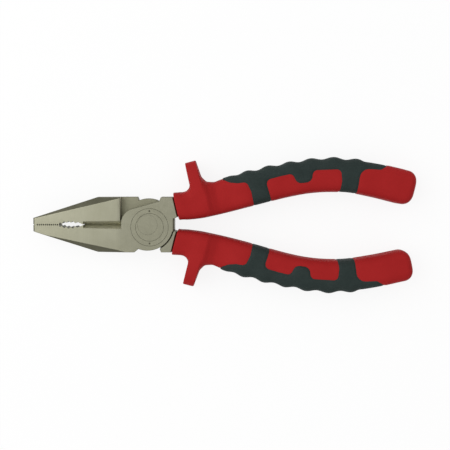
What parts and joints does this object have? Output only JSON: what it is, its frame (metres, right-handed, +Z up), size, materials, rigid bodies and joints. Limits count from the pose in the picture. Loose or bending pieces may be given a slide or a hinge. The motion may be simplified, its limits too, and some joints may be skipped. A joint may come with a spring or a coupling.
{
  "type": "combination pliers",
  "caption": "Hand pliers with tapered serrated jaws, an oval pipe grip, side cutters, a riveted lap joint and bent two-material handles with finger guards.",
  "frame": {"origin": "middle of the box in plan, at the height of the backs of the grips that the pliers lie on", "axes": "+X from the jaws to the handle ends, +Y across the handles, +Z up through the joint"},
  "size_m": [0.178, 0.0636, 0.0154],
  "materials": {
    "forged_steel": "ground and satin plated, warm grey",
    "rivet_steel": "ground flush with the joint",
    "red_plastic": "hard moulded plastic, satin red",
    "soft_plastic": "soft moulded plastic, matt and nearly black"
  },
  "bodies": {
    "front": {"front_half": "forged_steel", "pivot_rivet": "rivet_steel", "upper_sleeve": "red_plastic", "upper_soft_grip": "soft_plastic"},
    "rear": {"rear_half": "forged_steel", "lower_sleeve": "red_plastic", "lower_soft_grip": "soft_plastic"}
  },
  "joints": [
    {"name": "jaw_pivot", "type": "hinge", "parent": "front", "child": "rear", "pos_m": [-0.03569, 0.00041, 0.0077], "axis": [0, 0, -1], "range_deg": [0, 45]}
  ]
}
